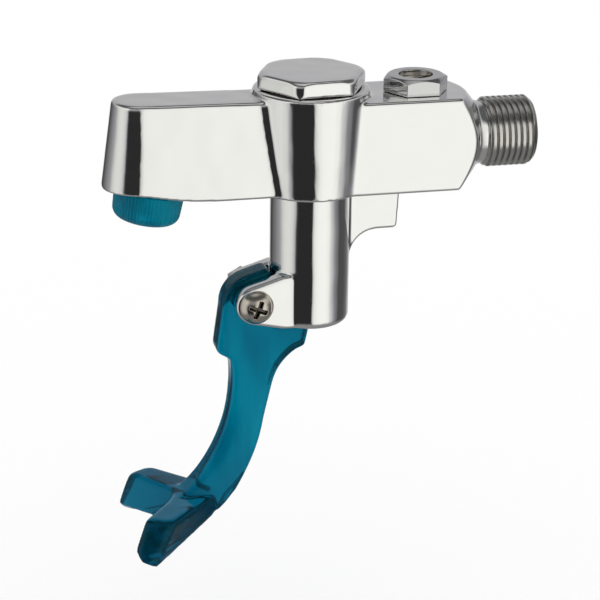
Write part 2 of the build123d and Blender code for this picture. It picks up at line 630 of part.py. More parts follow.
def regulator_spindle():
    foot = SPINDLE_TOP - REGULATOR_LENGTH
    shaft = rod(SPINDLE_RADIUS, foot + REGULATOR_TIP, SPINDLE_TOP, REGULATOR_X)
    shaft = chamfer(shaft.edges().group_by(Axis.Z)[-1], REGULATOR_EDGE)
    tip = upright_cone(REGULATOR_TIP_RADIUS, SPINDLE_RADIUS, foot, foot + REGULATOR_TIP, REGULATOR_X)
    ring_height = SPINDLE_TOP - RING_DOWN
    half_groove = RING_RADIUS + SEATED_FIT
    groove = tube(REGULATOR_BORE + 1, SPINDLE_RADIUS - 2 * RING_RADIUS - SEATED_FIT,
                  ring_height - half_groove, ring_height + half_groove, REGULATOR_X)
    slot = Rot(0, 0, SLOT_TURN) * Box(3 * REGULATOR_BORE, SLOT_WIDTH, 2 * SLOT_DEPTH)
    return shaft + tip - groove - Pos(REGULATOR_X, 0, SPINDLE_TOP) * slot


def regulator_ring():
    return Pos(REGULATOR_X, 0, SPINDLE_TOP - RING_DOWN) * Torus(SPINDLE_RADIUS - RING_RADIUS, RING_RADIUS)


# Nozzle
def nozzle_shell():
    mouth_outer = NOZZLE_RADIUS - NOZZLE_DROP * tan(radians(NOZZLE_TAPER))
    skirt = upright_cone(mouth_outer, NOZZLE_RADIUS, -NOZZLE_DROP, 0)
    skirt = fillet(skirt.edges().group_by(Axis.Z)[0], NOZZLE_EDGE)
    collar = rod(COLLAR_RADIUS, -1, COLLAR_LENGTH)
    bore = rod(NOZZLE_BORE_RADIUS, MOUTH_DEPTH - NOZZLE_DROP, COLLAR_LENGTH + 1)
    return NOZZLE * (skirt + collar - bore - rod(MOUTH_RADIUS, -NOZZLE_DROP - 1, 0))


def flow_straightener():
    top = STRAIGHTENER_FOOT + STRAIGHTENER_THICKNESS
    disc = rod(NOZZLE_BORE_RADIUS - SEATED_FIT, STRAIGHTENER_FOOT, top)
    disc = drilled(disc, STRAIGHTENER_HOLE, STRAIGHTENER_PITCH, STRAIGHTENER_RINGS, STRAIGHTENER_FOOT, top)
    return NOZZLE * disc


def nozzle_screen():
    top = SCREEN_FOOT + SCREEN_THICKNESS
    disc = rod(NOZZLE_BORE_RADIUS - SEATED_FIT, SCREEN_FOOT, top)
    return NOZZLE * drilled(disc, SCREEN_HOLE, SCREEN_PITCH, SCREEN_RINGS, SCREEN_FOOT, top)


def nozzle_gasket():
    return NOZZLE * tube(COLLAR_RADIUS, COLLAR_RADIUS - NOZZLE_GASKET_WIDTH, COLLAR_LENGTH,
                         COLLAR_LENGTH + NOZZLE_GASKET)


def inlet_strainer():
    disc = rod(STRAINER_RADIUS, 0, STRAINER_THICKNESS)
    disc = drilled(disc, STRAINER_HOLE, STRAINER_PITCH, STRAINER_RINGS, 0, STRAINER_THICKNESS)
    return Pos(THREAD_END - STRAINER_DEPTH - STRAINER_THICKNESS, 0, 0) * Rot(0, 90, 0) * disc


# Lever
def place(ahead_and_above):
    """Where a place on the lever's outline lies, as (X, Z)."""
    ahead, above = ahead_and_above
    return (PIVOT_X - ahead, PIVOT_Z + above)


def rounded_corner(outline, corner, radius):
    nearest = outline.vertices().sort_by(lambda vertex: hypot(vertex.X - corner[0], vertex.Y - corner[1]))[0]
    return fillet(nearest, radius).faces()[0]


def lever_outline():
    toe_top_back = (place(HEAD_BACK)[0], TOE_TOP)
    toe_top = (place(TOE_TIP)[0], TOE_TOP)
    brow = ThreePointArc(place(HEAD_CROWN), place(HEAD_BROW), place(HEAD_FRONT))
    face = Polyline(place(HEAD_FRONT), place(HEAD_CHIN), place(LEDGE_BACK))
    centre = place(ARM_FRONT_CENTRE)
    start = place(LEDGE_BACK)
    foot = PIVOT_Z - FORK_TOP - SUNK_IN_FORK
    middle = (start[1] + foot) / 2

    def on_front(height):
        return (centre[0] + (ARM_FRONT_RADIUS ** 2 - (height - centre[1]) ** 2) ** 0.5, height)

    front_low = on_front(foot)
    front = ThreePointArc(start, on_front(middle), front_low)
    under_fork = Line(front_low, place(ARM_BACK_LOW))
    back = ThreePointArc(place(ARM_BACK_LOW), place(ARM_BACK_MIDDLE), place(ARM_BACK_TOP))
    to_toe = Line(place(ARM_BACK_TOP), place(TOE_ROOT))
    hollow = ThreePointArc(place(TOE_ROOT), place(TOE_HOLLOW), place(TOE_LOW))
    toe = Polyline(place(TOE_LOW), place(TOE_TIP_LOW), place(TOE_TIP), toe_top, toe_top_back, place(HEAD_BACK),
                   place(HEAD_CROWN))
    outline = make_face(brow + face + front + under_fork + back + to_toe + hollow + toe)
    for corner, radius in ((HEAD_CHIN, CHIN_ROUND), (LEDGE_BACK, LEDGE_ROUND), (HEAD_CROWN, CROWN_ROUND),
                           (HEAD_FRONT, CROWN_ROUND), (HEAD_BACK, HEAD_ROUND_BACK), (TOE_TIP, TOE_ROUND),
                           (TOE_TIP_LOW, TOE_ROUND), (TOE_LOW, TOE_ROUND), (TOE_ROOT, CROWN_ROUND),
                           (ARM_BACK_TOP, ARM_BACK_ROUND)):
        outline = rounded_corner(outline, place(corner), radius)
    return outline


def prong_section(reach):
    """Section of a prong at a distance from the middle, as (X, Z) corners."""
    share = reach / FORK_HALF_SPAN
    top = PIVOT_Z - FORK_TOP
    front = PIVOT_X - PRONG_TIP_AHEAD + (FORK_HALF_SPAN - reach) * tan(radians(PRONG_SPLAY))
    root = place(ARM_BACK_LOW)
    tip_foot = (PIVOT_X - PRONG_TIP_FOOT, top - PRONG_TIP_HEIGHT)
    back_foot = (root[0] + share * (tip_foot[0] - root[0]), root[1] + share * (tip_foot[1] - root[1]))
    front_foot = front - PRONG_FRONT_HEIGHT * tan(radians(PRONG_LEAN))
    return [(front, top), (front_foot, top - PRONG_FRONT_HEIGHT), back_foot, (front + PRONG_DEPTH, top)]


def prong(side):
    sections = []
    for reach in (0, FORK_HALF_SPAN):
        plane = Plane(origin=(0, side * reach, 0), x_dir=(1, 0, 0), z_dir=(0, -1, 0))
        sections.append(plane * make_face(Polyline(*prong_section(reach), close=True)))
    return loft(sections, ruled=True)


def fork():
    """Both prongs, with round tips and a round throat between them."""
    solid = prong(1) + prong(-1)
    ends = solid.faces().filter_by(lambda face: abs(face.center().Y) > FORK_HALF_SPAN - SEATED_FIT)
    solid = fillet([end.edges().sort_by(Axis.X)[0] for end in ends], TIP_CORNER)
    between = solid.edges().filter_by(lambda edge: abs(edge.center().Y) < SEATED_FIT)
    solid = fillet(between.sort_by(Axis.X)[0], THROAT)
    top = solid.faces().sort_by(Axis.Z)[-1]
    return fillet(top.edges(), FORK_EDGE)


def lever():
    plate = side_plate(lever_outline(), LEVER_WIDTH / 2)
    plate = fillet(plate.faces().filter_by(Axis.Y).edges(), LEVER_EDGE)
    return plate + fork() - cross_rod(PIVOT_RADIUS + RUNNING_FIT, -BEYOND, BEYOND, PIVOT_X, PIVOT_Z)


def pivot_screw():
    dome = ThreePointArc((HEAD_RADIUS, HEAD_RIM), (HEAD_RADIUS * 2 / 3, HEAD_SHOULDER), (0, HEAD_HEIGHT))
    rest = Polyline((0, HEAD_HEIGHT), (0, 0), (HEAD_RADIUS, 0), (HEAD_RADIUS, HEAD_RIM))
    head = revolve(Plane.XZ * make_face(dome + rest), Axis.Z)
    head = Pos(PIVOT_X, -EAR_OUTER, PIVOT_Z) * Rot(90, 0, 0) * head
    screw_end = EAR_OUTER + NUT_THICKNESS + SCREW_END
    shank = cross_rod(PIVOT_RADIUS, -EAR_OUTER - 1, screw_end, PIVOT_X, PIVOT_Z)
    shank = chamfer(shank.edges().group_by(Axis.Y)[-1], SCREW_EDGE)
    recess = Pos(PIVOT_X, -EAR_OUTER - HEAD_HEIGHT, PIVOT_Z) * Rot(0, CROSS_TURN, 0) * (
        Box(CROSS_LENGTH, 2 * CROSS_DEPTH, CROSS_WIDTH) + Box(CROSS_WIDTH, 2 * CROSS_DEPTH, CROSS_LENGTH))
    return head + shank - recess


def pivot_nut():
    outline = Plane(origin=(PIVOT_X, EAR_OUTER, PIVOT_Z), z_dir=(0, 1, 0)) * RegularPolygon(
        NUT_FLATS / 2, 6, major_radius=False)
    nut_end = EAR_OUTER + NUT_THICKNESS
    bore = cross_rod(PIVOT_RADIUS + SEATED_FIT, EAR_OUTER - 1, nut_end + 1, PIVOT_X, PIVOT_Z)
    return extrude(outline, NUT_THICKNESS) - bore


NODES = [faucet_body, bonnet_cap, cap_gasket, valve_seat, seat_washer, disc_holder, washer_nut, valve_stem,
         stem_foot, valve_spring, stem_bush, stem_seals, seal_washer, regulator_gland, gland_gasket,
         regulator_spindle, regulator_ring, nozzle_shell, flow_straightener, nozzle_screen, nozzle_gasket,
         inlet_strainer, lever, pivot_screw, pivot_nut]

os.makedirs("parts", exist_ok=True)
for node in NODES:
    export_step(Pos(-THREAD_START, 0, 0) * node(), f"parts/{node.__name__}.step")
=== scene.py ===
import math

import bmesh
import bpy
from mathutils import Matrix, Vector


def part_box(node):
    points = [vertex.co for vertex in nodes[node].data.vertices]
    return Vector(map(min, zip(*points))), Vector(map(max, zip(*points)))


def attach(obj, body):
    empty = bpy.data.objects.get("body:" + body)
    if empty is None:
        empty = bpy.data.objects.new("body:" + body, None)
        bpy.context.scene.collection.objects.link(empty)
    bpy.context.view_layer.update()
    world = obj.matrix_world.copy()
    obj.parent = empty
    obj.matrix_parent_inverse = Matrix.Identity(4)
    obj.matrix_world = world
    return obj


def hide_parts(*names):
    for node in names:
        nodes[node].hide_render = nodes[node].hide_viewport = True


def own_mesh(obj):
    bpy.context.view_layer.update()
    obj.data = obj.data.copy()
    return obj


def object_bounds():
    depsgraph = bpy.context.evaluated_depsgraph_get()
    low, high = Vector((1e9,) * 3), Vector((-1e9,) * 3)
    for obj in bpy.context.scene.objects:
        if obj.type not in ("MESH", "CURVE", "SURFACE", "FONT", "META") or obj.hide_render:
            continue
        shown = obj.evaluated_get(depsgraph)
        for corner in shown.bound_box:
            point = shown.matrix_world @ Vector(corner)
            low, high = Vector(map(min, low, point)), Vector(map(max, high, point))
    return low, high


# Glass filler tap. Everything is in metres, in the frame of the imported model: +X along the
# inlet thread towards the supply, +Z up, spout towards -X, viewer on the -Y side.
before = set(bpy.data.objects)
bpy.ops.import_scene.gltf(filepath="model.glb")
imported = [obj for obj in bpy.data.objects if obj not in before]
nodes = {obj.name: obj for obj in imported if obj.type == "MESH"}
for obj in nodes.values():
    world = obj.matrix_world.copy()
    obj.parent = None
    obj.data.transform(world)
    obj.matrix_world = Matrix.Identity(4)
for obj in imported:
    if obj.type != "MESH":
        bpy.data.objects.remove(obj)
cad_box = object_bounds()

MM = 0.001

# Where the photograph was taken from
CAMERA_TARGET = Vector((-54.37, 0.0, -49.64)) * MM
CAMERA_YAW = math.radians(13.4)
CAMERA_ELEVATION = math.radians(20.8)
CAMERA_ROLL = math.radians(0.65)
CAMERA_DISTANCE = 632.7 * MM
CAMERA_LENS = 126.0               # millimetres, as Blender counts them
CAMERA_SENSOR = 36.0
CAMERA_SIGHT = 20.0               # how far it sees

# Floor
FLOOR_DROP = 0.055                # below the lowest point of the tap
FLOOR_SIZE = 6.0

# Brightness of the room by bearing, in degrees from the viewer's side towards the inlet
LOW_ROOM = [
    (-180, 0.6), (-160, 0.6), (-151, 0.06), (-146, 0.045), (-136, 0.09), (-120, 0.175),
    (-104, 0.28), (-94, 0.37), (-86, 0.58), (-76, 0.72), (-62, 0.76), (-50, 0.67), (-43, 0.45),
    (-38, 0.06), (-34, 0.024), (7, 0.024), (11, 0.6), (17, 0.87), (28, 0.98), (48, 1.0),
    (58, 0.92), (65, 0.68), (73, 0.45), (81, 0.24), (89, 0.165), (95, 0.075), (118, 0.08),
    (132, 0.12), (144, 0.2), (158, 0.5), (180, 0.6)]
HIGH_ROOM = [
    (-180, 0.44), (-120, 0.34), (-90, 0.7), (-44, 0.85), (-30, 0.35), (4, 0.35), (22, 0.9),
    (66, 0.85), (110, 0.4), (180, 0.44)]
BRIGHT_GREY = 0.5                 # a wall above this is warm and one below it cool
WARM_BLUE = 0.965                 # blue in a warm wall, for each part of red and green
COOL_BLUE = 1.04
CEILING_COLOR = (0.1, 0.1, 0.103)
SOFTBOX_COLOR = (0.6, 0.6, 0.59)
GROUND_COLOR = (0.24, 0.24, 0.24)

# Where each level of the room starts and is full, as the height of a direction of length one
HIGH_ROOM_BAND = (0.0, 0.3)
CEILING_BAND = (0.48, 0.66)
SOFTBOX_BAND = (0.88, 1.0)
GROUND_BAND = (-0.5, -0.72)

# Marks in the surfaces
POLISH_HEIGHT = 1.0 * MM
TURNING_HEIGHT = 0.02 * MM
TURNING_DEPTH = 0.4
GRAIN_HEIGHT = 0.03 * MM
WEAR_BAND = (0.15, 0.4)           # of the noise, from clean to smeared

# Axes and places of the tap
VALVE_X = -51.7 * MM
REGULATOR_X = -20.25 * MM
PIVOT = Vector((-69.8, 0.0, -47.1)) * MM

# Casting
TAIL_FROM = -0.1 * MM             # X from which the tail is turned down to the thread's core

# Inlet thread, along +X from the neck
THREAD_PITCH = 1.814 * MM
THREAD_LENGTH = 15.2 * MM
THREAD_CREST = 10.4775 * MM
THREAD_ROOT = 9.35 * MM
THREAD_CORE = 9.2 * MM
THREAD_LEAD_IN = 1.3 * MM
THREAD_RUN_OUT = 1.2 * MM
THREAD_FLANK = 5.6                # rise of a flank, in ridge heights to a pitch
THREAD_TROUGH = 0.35              # ridge heights below the root at which that line starts
THREAD_STEPS = 14                 # rows of the mesh to a pitch
THREAD_COLUMNS = 96
THREAD_WELD = 0.002 * MM
THREAD_LINING = 0.98              # of the core's radius

# Bonnet cap
CAP_TOP_RADIUS = 14.7 * MM        # to which the corners are turned at the top
CAP_CORNER_SLOPE = 1.7            # how much wider they are turned further down
CAP_VERTEX_RADIUS = 16.2 * MM
CAP_TURNED_DEPTH = 4.5 * MM
CAP_VOXEL = 0.3 * MM

# Pivot screw, from its axis and from the top of its head
SCREW_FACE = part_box("pivot_screw")[0][1]
CROSS_BAND = (3.4 * MM, 3.0 * MM)
CROSS_TOP = 0.5 * MM
CROSS_DEEP = 0.9 * MM
WORN_NICKEL = (0.62, 0.57, 0.5)
# Painted shade down in the driver's cross, where the recess is in shade
RECESS_SHADE_COLOR = (0.09, 0.083, 0.07)

# Blue plastic
BLUE_INDEX = 1.49
BLUE_GLINT = (0.1, 0.5, 0.6, 1.0)    # of what it reflects
BLUE_BODY = (0.0, 0.5, 0.6, 1.0)     # of what it lets through
BLUE_SMEARED = 0.05               # roughness that smears add
BLUE_STREAKS = (0.36, 0.6)        # of the noise, from deep to pale
STREAK_STRETCH = (0.7, 0.7, 0.12)
# Painted shade: the deeper blue of the lever low down
SHADE_BLUE = (0.005, 0.215, 0.335)
SHADE_REACH = 14.0 * MM           # in which the painted shade deepens the colour

# Nozzle, in its own frame: axis up, seated at 0, mouth below
NOZZLE_PLACE = Vector((-99.6, 0.0, -11.595)) * MM
NOZZLE_TILT = math.radians(10.0)
NOZZLE_RADIUS = 10.35 * MM
NOZZLE_FOOT_RADIUS = 10.0 * MM
NOZZLE_DROP = 9.4 * MM
NOZZLE_TOP_EDGE = 0.3 * MM
NOZZLE_EDGE = 3.2 * MM
NOZZLE_MOUTH = 6.4 * MM
NOZZLE_MOUTH_EDGE = 0.25 * MM
NOZZLE_MOUTH_TOP = -4.8 * MM
NOZZLE_BORE = 7.2 * MM
NOZZLE_COLLAR = 8.4 * MM
NOZZLE_COLLAR_TOP = 3.6 * MM
NOZZLE_SIDE_STEPS = 6
NOZZLE_CORNER_STEPS = 7
NOZZLE_RIBS = 60
NOZZLE_RIB_COLUMNS = 6            # columns of the mesh to a rib
NOZZLE_RIB_DEPTH = 0.16 * MM
NOZZLE_RIB_TOP = -0.4 * MM
NOZZLE_RIBBED_FROM = 8.6 * MM     # radius

# Lever, in its side view: ahead of the pivot and below it
LEVER_VOXEL = 0.5 * MM
ARM_CURVE_AHEAD = 57.2 * MM       # centre of the arc that the arm's front follows
ARM_CURVE_BELOW = 26.0 * MM
ARM_CURVE_RADIUS = 50.8 * MM
ARM_WIDTH = 12.0 * MM
ARM_BROADER = 2.3 * MM            # how much broader its foot is, all at the back
BROADER_FROM = 28.0 * MM          # below the pivot
BROADER_TO = 66.0 * MM
ARM_CROWN = 0.22                  # share by which it is thinner at its front and back
CROWN_FULL_FROM = 38.0 * MM       # below the pivot
CROWN_FULL_TO = 55.0 * MM
ARM_BACK_AHEAD = 7.8 * MM         # the arm's back, level with the root of the fork
ARM_BACK_SLOPE = 0.8
PLATE_HALF = 4.5 * MM             # half of the arm's thickness
PLATE_INSIDE = 0.3 * MM           # either side of the plate's face, where the fill starts and is full
PLATE_OUTSIDE = 0.2 * MM
FORK_BELOW = 62.7 * MM
FORK_ROOT_AHEAD = 23.85 * MM
FORK_SPLAY = 0.554
FORK_FOOT_AHEAD = 12.7 * MM
FORK_REACH = 20.3 * MM
FORK_FILL = PLATE_HALF            # how far the corner between arm and prong is filled
PRONG_FULLER = 2.3 * MM           # how much its front stands out
PRONG_FULL_FROM = 5.0 * MM        # to the side
PRONG_FULL_TO = 16.0 * MM
PRONG_LIFT = 2.0 * MM
PRONG_LIFT_DEPTH = 8.0 * MM       # below the root of the fork, where the lift is full
# Below this height painted shade deepens the lever's blue
LEVER_SHADE_BELOW = PIVOT.z - 50.0 * MM


# Shader helpers
def link(tree, source, target):
    tree.links.new(source, target)


def set_input(tree, socket, value):
    """Links a socket to another one, or gives it a plain value."""
    if isinstance(value, bpy.types.NodeSocket):
        link(tree, value, socket)
    else:
        socket.default_value = value


def math_node(tree, operation, *values):
    """A math node whose inputs are sockets or plain numbers."""
    node = tree.nodes.new("ShaderNodeMath")
    node.operation = operation
    for socket, value in zip(node.inputs, values):
        set_input(tree, socket, value)
    return node.outputs[0]


def limited(tree, value, low, high):
    return math_node(tree, "MINIMUM", math_node(tree, "MAXIMUM", value, low), high)


def distance(tree, across, along):
    """How far a point is from an axis, from its two places square to it."""
    squares = [math_node(tree, "MULTIPLY", place, place) for place in (across, along)]
    return math_node(tree, "SQRT", math_node(tree, "ADD", *squares))


def axes_of(tree, vector):
    """X, Y and Z of a vector."""
    split = tree.nodes.new("ShaderNodeSeparateXYZ")
    link(tree, vector, split.inputs[0])
    return split.outputs["X"], split.outputs["Y"], split.outputs["Z"]


def mapped(tree, value, start, end, low=0.0, high=1.0):
    """From low to high as a value goes from start to end."""
    node = tree.nodes.new("ShaderNodeMapRange")
    for label, limit in (("From Min", start), ("From Max", end), ("To Min", low), ("To Max", high)):
        set_input(tree, node.inputs[label], limit)
    link(tree, value, node.inputs["Value"])
    return node.outputs["Result"]


def mixed_colors(tree, factor, first, second):
    node = tree.nodes.new("ShaderNodeMix")
    node.data_type = "RGBA"
    link(tree, factor, node.inputs[0])
    for socket, color in ((node.inputs[6], first), (node.inputs[7], second)):
        set_input(tree, socket, color + (1.0,) if isinstance(color, tuple) else color)
    return node.outputs[2]


def noise(tree, coordinates, scale, detail=2.0, roughness=0.5, stretch=None):
    """Noise over a piece, longer along the axes whose stretch is small."""
    if stretch:
        mapping = tree.nodes.new("ShaderNodeMapping")
        mapping.inputs["Scale"].default_value = stretch
        link(tree, coordinates, mapping.inputs["Vector"])
        coordinates = mapping.outputs["Vector"]
    node = tree.nodes.new("ShaderNodeTexNoise")
    settings = {"Vector": coordinates, "Scale": scale, "Detail": detail, "Roughness": roughness}
    for label, value in settings.items():
        set_input(tree, node.inputs[label], value)
    return node.outputs["Fac"]


def bumped(tree, height, depth, reach):
    """The normals of a surface whose height differs by a depth times the reach."""
    node = tree.nodes.new("ShaderNodeBump")
    node.inputs["Distance"].default_value = reach
    link(tree, depth, node.inputs["Strength"])
    link(tree, height, node.inputs["Height"])
    return node.outputs["Normal"]


def object_coordinates(tree):
    return tree.nodes.new("ShaderNodeTexCoord").outputs["Object"]


def new_material(name):
    material = bpy.data.materials.new(name)
    material.use_nodes = True
    return material, material.node_tree, material.node_tree.nodes["Principled BSDF"]


def new_group(name, inputs, outputs):
    """A shader node group with (name, kind, default) inputs and (name, kind) outputs."""
    group = bpy.data.node_groups.new(name, "ShaderNodeTree")
    for label, kind, default in inputs:
        socket = group.interface.new_socket(label, in_out="INPUT", socket_type=kind)
        if default is not None:
            socket.default_value = default
    for label, kind in outputs:
        group.interface.new_socket(label, in_out="OUTPUT", socket_type=kind)
    return group, group.nodes.new("NodeGroupInput"), group.nodes.new("NodeGroupOutput")


def use_group(tree, group, **values):
    node = tree.nodes.new("ShaderNodeGroup")
    node.node_tree = group
    for label, value in values.items():
        node.inputs[label.replace("_", " ")].default_value = value
    link(tree, object_coordinates(tree), node.inputs["Place"])
    return node


# Studio
def camera_axes():
    """Right, up and back of the camera, with its small roll."""
    back = Vector((-math.sin(CAMERA_YAW) * math.cos(CAMERA_ELEVATION),
                   -math.cos(CAMERA_YAW) * math.cos(CAMERA_ELEVATION),
                   math.sin(CAMERA_ELEVATION)))
    right = Vector((math.cos(CAMERA_YAW), -math.sin(CAMERA_YAW), 0.0))
    up = back.cross(right)
    rolled_right = right * math.cos(CAMERA_ROLL) + up * math.sin(CAMERA_ROLL)
    rolled_up = up * math.cos(CAMERA_ROLL) - right * math.sin(CAMERA_ROLL)
    return rolled_right, rolled_up, back


def add_camera():
    right, up, back = camera_axes()
    data = bpy.data.cameras.new("photo_camera")
    data.sensor_width = CAMERA_SENSOR
    data.lens = CAMERA_LENS
    data.clip_end = CAMERA_SIGHT
    camera = bpy.data.objects.new("photo_camera", data)
    place = CAMERA_TARGET + back * CAMERA_DISTANCE
    camera.matrix_world = Matrix((
        (right.x, up.x, back.x, place.x),
        (right.y, up.y, back.y, place.y),
        (right.z, up.z, back.z, place.z),
        (0.0, 0.0, 0.0, 1.0)))
    bpy.context.scene.collection.objects.link(camera)
    bpy.context.scene.camera = camera


def around(degrees):
    """Place on a ramp of a bearing, counted from the viewer's side towards +X."""
    return degrees / 360.0 + 0.5


def room_ramp(tree, bearing, stops):
    """Brightness all round the room: warm where it is bright, cooler where it is dim."""
    node = tree.nodes.new("ShaderNodeValToRGB")
    elements = node.color_ramp.elements
    while len(elements) > 1:
        elements.remove(elements[-1])
    for index, (degrees, grey) in enumerate(stops):
        place = around(degrees)
        element = elements[0] if index == 0 else elements.new(place)
        element.position = place
        blue = grey * (WARM_BLUE if grey > BRIGHT_GREY else COOL_BLUE)
        element.color = (grey, grey, blue, 1.0)
    link(tree, bearing, node.inputs["Fac"])
    return node.outputs["Color"]


def share_along(tree, direction, axis):
    """How much of a direction points along an axis."""
    node = tree.nodes.new("ShaderNodeVectorMath")
    node.operation = "DOT_PRODUCT"
    node.inputs[1].default_value = axis
    link(tree, direction, node.inputs[0])
    return node.outputs["Value"]


def add_world():
    """A white room, in whose place mirrors show one with the dark flags that give metal its bands."""
    world = bpy.data.worlds.new("studio")
    bpy.context.scene.world = world
    world.use_nodes = True
    tree = world.node_tree
    direction = tree.nodes.new("ShaderNodeTexCoord").outputs["Generated"]
    toward = share_along(tree, direction, (-math.sin(CAMERA_YAW), -math.cos(CAMERA_YAW), 0.0))
    aside = share_along(tree, direction, (math.cos(CAMERA_YAW), -math.sin(CAMERA_YAW), 0.0))
    bearing = math_node(tree, "ARCTAN2", aside, toward)
    bearing = math_node(tree, "MULTIPLY_ADD", bearing, 0.5 / math.pi, 0.5)
    height = axes_of(tree, direction)[2]

    low = room_ramp(tree, bearing, LOW_ROOM)
    high = room_ramp(tree, bearing, HIGH_ROOM)
    room = mixed_colors(tree, mapped(tree, height, *HIGH_ROOM_BAND), low, high)
    room = mixed_colors(tree, mapped(tree, height, *GROUND_BAND), room, GROUND_COLOR)
    room = mixed_colors(tree, mapped(tree, height, *CEILING_BAND), room, CEILING_COLOR)
    room = mixed_colors(tree, mapped(tree, height, *SOFTBOX_BAND), room, SOFTBOX_COLOR)

    path = tree.nodes.new("ShaderNodeLightPath")
    mirrored = math_node(tree, "SUBTRACT", path.outputs["Is Glossy Ray"], path.outputs["Is Transmission Ray"])
    mirrored = math_node(tree, "MAXIMUM", mirrored, 0.0)
    link(tree, mixed_colors(tree, mirrored, (1.0, 1.0, 1.0), room), tree.nodes["Background"].inputs["Color"])


def floor_finish():
    """Matt white, left out of what metal mirrors and what clear plastic lets through."""
    material, tree, principled = new_material("floor")
    principled.inputs["Base Color"].default_value = (1.0, 1.0, 1.0, 1.0)
    principled.inputs["Roughness"].default_value = 1.0
    principled.inputs["Specular IOR Level"].default_value = 0.0
    clear = tree.nodes.new("ShaderNodeBsdfTransparent")
    path = tree.nodes.new("ShaderNodeLightPath")
    mixed = tree.nodes.new("ShaderNodeMixShader")
    through = math_node(tree, "MAXIMUM", path.outputs["Is Glossy Ray"], path.outputs["Is Transmission Ray"])
    link(tree, through, mixed.inputs[0])
    link(tree, principled.outputs[0], mixed.inputs[1])
    link(tree, clear.outputs[0], mixed.inputs[2])
    link(tree, mixed.outputs[0], tree.nodes["Material Output"].inputs["Surface"])
    return material


def add_floor():
    low = cad_box[0][2] - FLOOR_DROP
    half = FLOOR_SIZE / 2
    mesh = bpy.data.meshes.new("floor")
    mesh.from_pydata([(-half, -half, low), (half, -half, low), (half, half, low), (-half, half, low)], [],
                     [(0, 1, 2, 3)])
    mesh.materials.append(floor_finish())
    floor = bpy.data.objects.new("floor", mesh)
    bpy.context.scene.collection.objects.link(floor)


# Effects that several finishes share
def hand_polish_group():
    """Slow waves that a buffing wheel leaves."""
    group, inputs, outputs = new_group("hand_polish", [
        ("Place", "NodeSocketVector", None), ("Wave Size", "NodeSocketFloat", 60.0),
        ("Depth", "NodeSocketFloat", 0.1)], [("Normal", "NodeSocketVector")])
    waves = noise(group, inputs.outputs["Place"], inputs.outputs["Wave Size"], detail=1.0)
    normal = bumped(group, waves, inputs.outputs["Depth"], POLISH_HEIGHT)
    link(group, normal, outputs.inputs["Normal"])
    return group


def smears_group():
    """Faint smears with hairlines in them, where a surface reflects less sharply."""
    group, inputs, outputs = new_group("smears", [
        ("Place", "NodeSocketVector", None), ("Clean", "NodeSocketFloat", 0.03),
        ("Smeared", "NodeSocketFloat", 0.1)], [("Roughness", "NodeSocketFloat")])
    place = inputs.outputs["Place"]
    patches = noise(group, place, scale=90.0, detail=4.0, roughness=0.6, stretch=(1.0, 1.0, 2.5))
    hairlines = noise(group, place, scale=900.0, roughness=0.7, stretch=(0.15, 1.0, 1.0))
    mask = math_node(group, "MULTIPLY", patches, hairlines)
    roughness = mapped(group, mask, *WEAR_BAND, inputs.outputs["Clean"], inputs.outputs["Smeared"])
    link(group, roughness, outputs.inputs["Roughness"])
    return group


def turning_group():
    """Rings that a lathe tool leaves round an upright axis."""
    group, inputs, outputs = new_group("turning_marks", [
        ("Place", "NodeSocketVector", None), ("Axis", "NodeSocketVector", None),
        ("Pitch", "NodeSocketFloat", 0.25 * MM), ("Depth", "NodeSocketFloat", 0.3)],
        [("Normal", "NodeSocketVector")])
    offset = group.nodes.new("ShaderNodeVectorMath")
    offset.operation = "SUBTRACT"
    link(group, inputs.outputs["Place"], offset.inputs[0])
    link(group, inputs.outputs["Axis"], offset.inputs[1])
    across, along, height = axes_of(group, offset.outputs["Vector"])
    travel = math_node(group, "ADD", distance(group, across, along), height)
    turns = math_node(group, "DIVIDE", travel, inputs.outputs["Pitch"])
    rings = math_node(group, "MULTIPLY_ADD", math_node(group, "SINE", turns), 0.5, 0.5)
    normal = bumped(group, rings, inputs.outputs["Depth"], TURNING_HEIGHT)
    link(group, normal, outputs.inputs["Normal"])
    return group


def grain_group():
    """Fine even grain with slow patches, for moulded and pressed pieces."""
    group, inputs, outputs = new_group("moulded_grain", [
        ("Place", "NodeSocketVector", None), ("Light", "NodeSocketColor", (0.8, 0.8, 0.8, 1.0)),
        ("Dark", "NodeSocketColor", (0.7, 0.7, 0.7, 1.0)), ("Grain", "NodeSocketFloat", 1500.0),
        ("Depth", "NodeSocketFloat", 0.3)], [("Color", "NodeSocketColor"), ("Normal", "NodeSocketVector")])
    fine = noise(group, inputs.outputs["Place"], inputs.outputs["Grain"], detail=3.0)
    patches = noise(group, inputs.outputs["Place"], scale=180.0)
    shade = math_node(group, "MULTIPLY_ADD", fine, 0.5, math_node(group, "MULTIPLY", patches, 0.5))
    color = mixed_colors(group, shade, inputs.outputs["Dark"], inputs.outputs["Light"])
    link(group, color, outputs.inputs["Color"])
    normal = bumped(group, fine, inputs.outputs["Depth"], GRAIN_HEIGHT)
    link(group, normal, outputs.inputs["Normal"])
    return group


HAND_POLISH = hand_polish_group()
SMEARS = smears_group()
TURNING = turning_group()
GRAIN = grain_group()


# Finishes
def smear(tree, principled, clean, smeared):
    smears = use_group(tree, SMEARS, Clean=clean, Smeared=smeared)
    link(tree, smears.outputs["Roughness"], principled.inputs["Roughness"])


def polish(tree, principled, wave_size, depth):
    waves = use_group(tree, HAND_POLISH, Wave_Size=wave_size, Depth=depth)
    link(tree, waves.outputs["Normal"], principled.inputs["Normal"])


def metal(name, color, clean, smeared, wave_size=400.0, wave_depth=0.06):
    """Bare or plated metal, with slow waves in its polish."""
    material, tree, principled = new_material(name)
    principled.inputs["Base Color"].default_value = color + (1.0,)
    principled.inputs["Metallic"].default_value = 1.0
    smear(tree, principled, clean, smeared)
    polish(tree, principled, wave_size, wave_depth)
    return material


